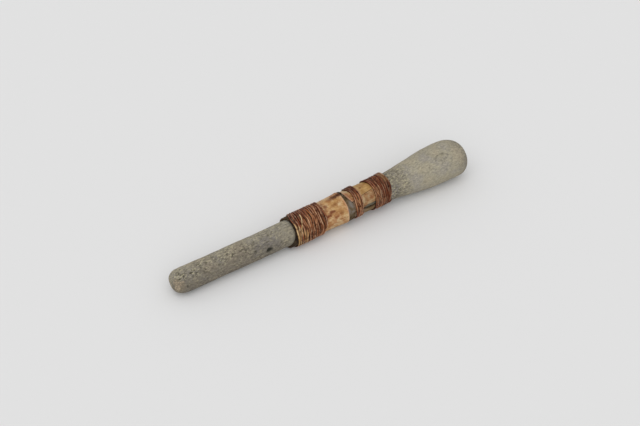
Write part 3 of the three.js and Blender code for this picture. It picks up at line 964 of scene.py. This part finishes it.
# Sweeps a half-round strand along a path that carries its outward direction, length and girth.
def strandTree():
    tree = bpy.data.node_groups.new("sweep strand", "GeometryNodeTree")
    sockets = {}
    for name, kind in (
        ("Path", "NodeSocketGeometry"),
        ("Strand width", "NodeSocketFloat"),
        ("Strand thickness", "NodeSocketFloat"),
        ("Flat underside", "NodeSocketFloat"),
        ("Profile points", "NodeSocketInt"),
        ("Fibre relief", "NodeSocketFloat"),
        ("Fibre length", "NodeSocketFloat"),
        ("Finish", "NodeSocketMaterial"),
    ):
        sockets[name] = tree.interface.new_socket(name, in_out="INPUT", socket_type=kind).identifier
    tree.interface.new_socket("Strand", in_out="OUTPUT", socket_type="NodeSocketGeometry")
    given = addNode(tree, "NodeGroupInput").outputs
    carried = {}
    for name in ("outward", "along", "girth", "crown", "flank"):
        settings = {"data_type": "FLOAT_VECTOR" if name == "outward" else "FLOAT"}
        carried[name] = addNode(tree, "GeometryNodeInputNamedAttribute", {"Name": name}, settings)
    path = addNode(tree, "GeometryNodeMeshToCurve", {"Mesh": given["Path"]})
    inputs = {"Curve": path, "Normal": carried["outward"]}
    path = addNode(tree, "GeometryNodeSetCurveNormal", inputs, {"mode": "FREE"})

    # The profile: a ring whose crown and flank are kept, then flattened underneath and sized.
    inputs = {"Resolution": given["Profile points"], "Radius": 1.0}
    profile = addNode(tree, "GeometryNodeCurvePrimitiveCircle", inputs)
    place = addNode(tree, "GeometryNodeInputPosition")
    parts = addNode(tree, "ShaderNodeSeparateXYZ", {0: place}).outputs
    for name, part in (("crown", "X"), ("flank", "Y")):
        inputs = {"Geometry": profile, "Name": name, "Value": parts[part]}
        profile = addNode(tree, "GeometryNodeStoreNamedAttribute", inputs)
    inputs = {0: parts["X"], 1: given["Flat underside"]}
    flat = addNode(tree, "ShaderNodeMath", inputs, {"operation": "MAXIMUM"})
    halfRound = addNode(tree, "ShaderNodeCombineXYZ", {"X": flat, "Y": parts["Y"]})
    inputs = {"X": given["Strand thickness"], "Y": given["Strand width"]}
    size = addNode(tree, "ShaderNodeCombineXYZ", inputs)
    sized = addNode(tree, "ShaderNodeVectorMath", {0: halfRound, 1: size}, {"operation": "MULTIPLY"})
    halved = addNode(tree, "ShaderNodeVectorMath", {0: sized, "Scale": 0.5}, {"operation": "SCALE"})
    profile = addNode(tree, "GeometryNodeSetPosition", {"Geometry": profile, "Position": halved})
    inputs = {"Curve": path, "Profile Curve": profile, "Scale": carried["girth"], "Fill Caps": True}
    swept = addNode(tree, "GeometryNodeCurveToMesh", inputs)

    # Fibres along the strand, as ridges.
    inputs = {0: carried["along"], 1: given["Fibre length"]}
    lengthShare = addNode(tree, "ShaderNodeMath", inputs, {"operation": "DIVIDE"})
    inputs = {"X": lengthShare, "Y": carried["crown"], "Z": carried["flank"]}
    onStrand = addNode(tree, "ShaderNodeCombineXYZ", inputs)
    fibre = addNode(tree, "ShaderNodeTexNoise", {"Vector": onStrand, "Scale": 2.0, "Detail": 2.0})
    centred = addNode(tree, "ShaderNodeMath", {0: fibre, 1: 0.5}, {"operation": "SUBTRACT"})
    inputs = {0: centred, 1: given["Fibre relief"]}
    height = addNode(tree, "ShaderNodeMath", inputs, {"operation": "MULTIPLY"})
    inputs = {0: addNode(tree, "GeometryNodeInputNormal"), "Scale": height}
    shift = addNode(tree, "ShaderNodeVectorMath", inputs, {"operation": "SCALE"})
    swept = addNode(tree, "GeometryNodeSetPosition", {"Geometry": swept, "Offset": shift})
    swept = addNode(tree, "GeometryNodeRealizeInstances", {"Geometry": swept})
    swept = addNode(tree, "GeometryNodeSetMaterial", {"Geometry": swept, "Material": given["Finish"]})
    addNode(tree, "NodeGroupOutput", {"Strand": swept})
    return tree, sockets


sweepStrand, strandSockets = strandTree()

strand = {
    "width": 1.8,
    "thickness": 1.5,
    "overGirth": 0.56,
    "flatUnderside": -0.65,
    "profilePoints": 14,
    "fibreRelief": 0.22,
    "fibreLength": 9,
    "stepsPerTurn": 90,
    "taper": 2.5,
    "endGirth": 0.45,
    "apart": 0.37,  # how far apart the fibres of a binding's strands start, in metres
}

lowerFirst, lower = "lower_binding_pale_strand", "lower_binding"
middle, upper = "middle_binding", "upper_binding"
bindings = {
    "startRoll": 230,
    "pitch": 2.4,
    "inset": 0.6,
    "tightEnd": 0.25,  # the loops stray less near both ends
    "tightReach": 4,
    "dark": {lowerFirst: 0.16, lower: 0.16, middle: 0.4, upper: 0.34},
    "upperDarkStations": (231, 241),
    "darkRoll": 115,
    "darkTurns": (65, 10),
    "wander": 1.3,
    "ripple": 8.5,
    "deepLayer": {
        "stray": 0.7,
        "strayWaves": 4.1,
        "lift": 0.1,
        "height": 0.4,
        "girth": 0.8,
        "uneven": 0.2,
        # painted shade on these deep loops
        "shadeAndDirt": 0.6,
    },
    "mainLayer": {
        "stray": 1.3,
        "strayWaves": 5.3,
        "lift": 0.35,
        "height": 0.56,
        "girth": 0.95,
        "uneven": 0.45,
        "shadeAndDirt": 0,
    },
    "leans": [  # at a binding's start or end: roll, spread, reach along the axis, shift and rise
        (lowerFirst, "start", 145, 70, 14, 3.2, 0),
        (lowerFirst, "start", 245, 85, 14, -4.8, 0),
        (lowerFirst, "start", 95, 45, 6, -1.2, 0),
        (lower, "end", tube["boundRoll"], tube["boundSpread"], 14, -tube["boundBack"], 0),
        (middle, "start", 130, 38, 6, -3.2, 0),
        (middle, "start", 65, 45, 5, 0.5, 0),
        (middle, "end", 125, 50, 9, -0.8, 0.5),
        (middle, "start", 15, 45, 5, -1.1, 0),
        (middle, "end", 60, 60, 6, 1.2, 0),
        (middle, "end", -25, 70, 10, -2.4, 0),
        (upper, "start", 5, 60, 9, 0.4, 0),
        (upper, "start", 60, 65, 9, 1.7, 0),
        (upper, "start", 132, 45, 8, -1.9, 0),
        (upper, "end", 62, 70, 9, 1.5, 0),
        (upper, "end", 128, 60, 15, 0, 0.7),
        (upper, "end", -30, 75, 12, -2.6, 0),
    ],
    "over": {  # strands laid over the loops: station and roll at both ends, bow and seed
        lowerFirst: [(145.5, 96, 135.5, -8, 0.6, 3.1)],
        lower: [
            (160.0, 70, 152.0, -30, -0.8, 5.2),
            (149.0, 60, 143.0, -25, 0.5, 6.4),
            (150.0, 250, 160.0, 150, 0.5, 7.4),
        ],
        middle: [(207.5, 75, 210.5, -10, 0.4, 9.1), (212.0, 220, 207.5, 120, 0.4, 9.8)],
        upper: [(230.5, 80, 237.0, -15, -0.5, 12.5), (246.0, 240, 238.0, 140, -0.5, 13.1)],
    },
    "pale": {  # patches of fresh rattan: strength, stations, rolls and whether it is only here and there
        lowerFirst: [(1, 130, 135.3, -30, 60, False), (0.55, 130, 142, -40, 45, True)],
        lower: [(0.6, 138, 146, -40, 20, False), (0.13, 146, 168, -60, 70, False)],
        middle: [(0.15, 203, 216, 10, 45, False)],
        upper: [(0.35, 245, 252, 70, 110, False), (0.16, 227, 236, 0, 60, False)],
    },
    "leastPale": {lowerFirst: 0, lower: 0, middle: 0.03, upper: 0},
    "patchFade": (12, 1),  # degrees beyond a patch's last roll, and mm beyond its stations
}
bindingReach = {node: measure(node) for node in (lowerFirst, lower, middle, upper)}


# How far the windings are pushed along the axis, where they lie askew, and outwards, where they are piled up.
def leanAt(station, roll):
    shift, rise = 0, 0
    for node, end, leanRoll, spread, reach, leanShift, leanRise in bindings["leans"]:
        near = smooth(reach, 0, abs(station - bindingReach[node][end]))
        share = near * smooth(spread, 0, abs(turnFrom(leanRoll, roll)))
        shift += leanShift * share
        rise += leanRise * share
    return shift, rise


# How dirty a binding is: the upper one towards the neck, and the others on top.
def bindingDark(node, station, roll):
    share = smooth(*bindings["darkTurns"], abs(turnFrom(bindings["darkRoll"], roll)))
    if node == upper:
        share = 0.35 + 0.65 * smooth(*bindings["upperDarkStations"], station)
    return bindings["dark"][node] * share


# A winding's path: a helix that ripples with its neighbours and strays a little by itself. Each place has a
# station, radius, roll, girth and how dark it is, from dirt and from painted shade where it lies deep.
def helixPath(node, carrier, start, end, layer, seed):
    pitch = bindings["pitch"]
    steps = round((end - start) / pitch * strand["stepsPerTurn"])
    path = []
    for step in range(steps + 1):
        turn = step / strand["stepsPerTurn"]
        roll = bindings["startRoll"] + 360 * turn
        station = start + pitch * turn
        place = onAxis(station, carrier, roll)
        fromEnds = smooth(0, bindings["tightReach"], min(station - start, end - station))
        loose = between(bindings["tightEnd"], 1, fromEnds)
        ripple = bindings["wander"] * noise.noise(place / bindings["ripple"])
        stray = layer["stray"] * noise.noise(Vector((turn * layer["strayWaves"], seed, 2)))
        rise = layer["lift"] * (0.5 + noise.noise(place / 6 + Vector((0, seed, 5))))
        girth = layer["girth"] * (1 + layer["uneven"] * noise.noise(Vector((turn * 4.7, seed, 9))))
        leanShift, leanRise = leanAt(station, roll)
        station += loose * (ripple + stray) + leanShift
        dark = max(layer["shadeAndDirt"], bindingDark(node, station, roll))
        radius = carrier + casingRise(station, roll) + layer["height"] + max(0, rise) + leanRise
        path.append((station, radius, roll, girth, dark))
    return path


# The two layers of a binding: the loops that the CAD node has, and thinner ones lying deep between them,
# darkened with painted shade.
def loopPaths(node, carrier, seed):
    first = bindingReach[node]["start"] + bindings["inset"]
    last = bindingReach[node]["end"] - bindings["inset"]
    halfway = bindings["pitch"] / 2
    deep = helixPath(node, carrier, first + halfway, last - halfway, bindings["deepLayer"], seed + 20)
    return [deep, helixPath(node, carrier, first, last, bindings["mainLayer"], seed)]


# A strand laid over the loops, from one station and roll to another, tucked in at both its ends.
def overPath(carrier, fromStation, fromRoll, toStation, toRoll, bow, seed):
    steps = max(8, round(abs(toRoll - fromRoll) / 360 * strand["stepsPerTurn"]))
    path = []
    for step in range(steps + 1):
        share = step / steps
        roll = between(fromRoll, toRoll, share)
        station = between(fromStation, toStation, smooth(0, 1, share))
        station += bow * math.sin(math.pi * share) + 0.3 * noise.noise(Vector((share * 4, seed, 1)))
        arch = math.sin(math.pi * share) ** 0.35 if 0 < share < 1 else 0
        girth = strand["overGirth"] * (1 + 0.25 * noise.noise(Vector((share * 5, seed, 9))))
        radius = carrier + casingRise(station, roll) + strand["thickness"] * (0.4 + 0.5 * arch)
        path.append((station, radius, roll, girth, 0))
    return path


# Share of fresh pale rattan at a place of a binding's strand. The one over the first loops is all fresh.
def paleShare(node, number, station, roll):
    if node == lowerFirst and number > 1:
        return 1
    turnFade, fade = bindings["patchFade"]
    scattered = smooth(0, 0.22, noise.noise(Vector((cosine(roll) * 2, station / 2, 3))))
    most = 0
    for strength, start, end, rollFrom, rollTo, broken in bindings["pale"][node]:
        turned = (roll - rollFrom) % 360 + rollFrom
        across = smooth(rollTo + turnFade, rollTo, turned)
        patch = across * within(start - fade, start, end, end + fade, station)
        most = max(most, strength * patch * (scattered if broken else 1))
    return bindings["leastPale"][node] + most


# A wound piece: its loops and the strands laid over them, swept by the node tree.
def makeBinding(name, node, carrier, seed, finish):
    paths = loopPaths(node, carrier, seed)
    paths += [overPath(carrier, *over) for over in bindings["over"][node]]
    points, edges = [], []
    marks = {"outward": [], "along": [], "girth": [], "pale": [], "shadeAndDirt": []}
    for number, path in enumerate(paths):
        places = [pestleToRow @ onAxis(*spot[:3]) for spot in path]
        travelled = [0]
        for before, after in zip(places, places[1:]):
            travelled.append(travelled[-1] + (after - before).length)
        for (station, _, roll, girth, dark), place, far in zip(path, places, travelled):
            if far > 0:
                edges.append((len(points) - 1, len(points)))
            points.append(place)
            toEnd = min(far, travelled[-1] - far) / mm
            marks["outward"].extend((pestleToRow.to_3x3() @ onAxis(0, 1, roll)).normalized())
            marks["along"].append(far + number * strand["apart"])
            marks["girth"].append(girth * between(strand["endGirth"], 1, smooth(0, strand["taper"], toEnd)))
            marks["pale"].append(paleShare(node, number, station, roll))
            marks["shadeAndDirt"].append(dark)
    mesh = bpy.data.meshes.new(name)
    mesh.from_pydata(points, edges, [])
    for label, values in marks.items():
        kind, field = ("FLOAT_VECTOR", "vector") if label == "outward" else ("FLOAT", "value")
        mesh.attributes.new(label, kind, "POINT").data.foreach_set(field, values)
    wound = bpy.data.objects.new(name + "_path", mesh)
    scene.collection.objects.link(wound)
    sweep = wound.modifiers.new("sweep", "NODES")
    sweep.node_group = sweepStrand
    for label, value in (
        ("Strand width", strand["width"] * mm),
        ("Strand thickness", strand["thickness"] * mm),
        ("Flat underside", strand["flatUnderside"]),
        ("Profile points", strand["profilePoints"]),
        ("Fibre relief", strand["fibreRelief"] * mm),
        ("Fibre length", strand["fibreLength"] * mm),
        ("Finish", finish),
    ):
        sweep[strandSockets[label]] = value
    view = bpy.context.evaluated_depsgraph_get()
    swept = bpy.data.meshes.new_from_object(wound.evaluated_get(view))
    bpy.data.objects.remove(wound)
    swept.name = name
    return linkPiece(name, swept)


tubeCarrier = tubeSize["inner"] + tube["wall"]
staveCarrier = frontSize["inner"] + staves["wall"]
paleBinding = makeBinding("binding_lower_pale", lowerFirst, tubeCarrier, 1.7, paleFinish)
lowerBinding = makeBinding("binding_lower", lower, tubeCarrier, 4.2, rattanFinish)
middleBinding = makeBinding("binding_middle", middle, staveCarrier, 8.3, rattanFinish)
upperBinding = makeBinding("binding_upper", upper, staveCarrier, 11.6, rattanFinish)
print("bindings: 4 wound pieces")

for piece, node, slot in (
    (stonePiece, "pestle_stone", "stone"),
    (tubePiece, "lower_casing", "bamboo"),
    (topStave, "upper_casing_top_stave", "bamboo"),
    (frontStave, "upper_casing_front_stave", "bamboo"),
    (underStave, "upper_casing_under_stave", "bamboo"),
    (paleBinding, "lower_binding_pale_strand", "pale_rattan"),
    (lowerBinding, "lower_binding", "rattan"),
    (middleBinding, "middle_binding", "rattan"),
    (upperBinding, "upper_binding", "rattan"),
):
    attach(piece, "root")
    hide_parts(node)

studio = {
    "floorSize": 6.0,
    "floorTone": "#e0e0e0",
    "skyTone": "#ffffff",
    "skyStrength": 0.75,
    "backdrop": "#e0e0e0",
    "sunStrength": 1.04,
    "sunSpread": 80,
    "sunFrom": (-0.35, -0.52, 0.8),
    "azimuth": -32.75,
    "elevation": 42.4,
    "distance": 1.295,
    "target": (0.0083, 0.0213, 0),
    "lens": 70,
    "sensor": 36,
}


# Matt white table paper: an even pale grey.
def tablePaper():
    material, tree, _ = newMaterial("matt table paper")
    fibres = addNode(tree, "ShaderNodeTexNoise", {"Scale": perMetre(0.8), "Detail": 2.0})
    shine = {"Roughness": 0.95, "Specular IOR Level": 0.1}
    tone = linear(studio["floorTone"])
    finishMaterial(tree, tone, (), fibres, strength=0.05, depth=0.1, shine=shine)
    return material


def makeTable():
    half = studio["floorSize"] / 2
    mesh = bpy.data.meshes.new("table")
    corners = [(-half, -half, 0), (half, -half, 0), (half, half, 0), (-half, half, 0)]
    mesh.from_pydata(corners, [], [(0, 1, 2, 3)])
    mesh.materials.append(tablePaper())
    table = bpy.data.objects.new("table", mesh)
    scene.collection.objects.link(table)


# A white sky lights the pestle, and what the camera and gloss see behind it is the table's own grey.
def makeLight():
    scene.world = bpy.data.worlds.new("studio")
    scene.world.use_nodes = True
    tree = scene.world.node_tree
    tree.nodes.clear()
    rays = addNode(tree, "ShaderNodeLightPath").outputs
    seen = rays["Is Camera Ray"]
    for kind in ("Is Glossy Ray", "Is Transmission Ray"):
        settings = {"operation": "ADD", "use_clamp": True}
        seen = addNode(tree, "ShaderNodeMath", {0: seen, 1: rays[kind]}, settings)
    lights = []
    for tone, strength in ((studio["skyTone"], studio["skyStrength"]), (studio["backdrop"], 1.0)):
        inputs = {"Color": linear(tone), "Strength": strength}
        lights.append(addNode(tree, "ShaderNodeBackground", inputs))
    mixed = addNode(tree, "ShaderNodeMixShader", {0: seen, 1: lights[0], 2: lights[1]})
    addNode(tree, "ShaderNodeOutputWorld", {"Surface": mixed})

    lamp = bpy.data.lights.new("softbox", "SUN")
    lamp.energy = studio["sunStrength"]
    lamp.angle = math.radians(studio["sunSpread"])
    sun = bpy.data.objects.new("softbox", lamp)
    sun.rotation_euler = Vector(studio["sunFrom"]).to_track_quat("Z", "Y").to_euler()
    scene.collection.objects.link(sun)


def makeCamera():
    level = cosine(studio["elevation"])
    side, ahead = sine(studio["azimuth"]), cosine(studio["azimuth"])
    back = Vector((side * level, -ahead * level, sine(studio["elevation"])))
    lens = bpy.data.cameras.new("camera")
    lens.lens = studio["lens"]
    lens.sensor_width = studio["sensor"]
    camera = bpy.data.objects.new("camera", lens)
    camera.location = Vector(studio["target"]) + back * studio["distance"]
    camera.rotation_euler = back.to_track_quat("Z", "Y").to_euler()
    scene.collection.objects.link(camera)
    scene.camera = camera
    scene.view_settings.view_transform = "Standard"


makeTable()
makeLight()
makeCamera()
print("studio: table, light and camera")
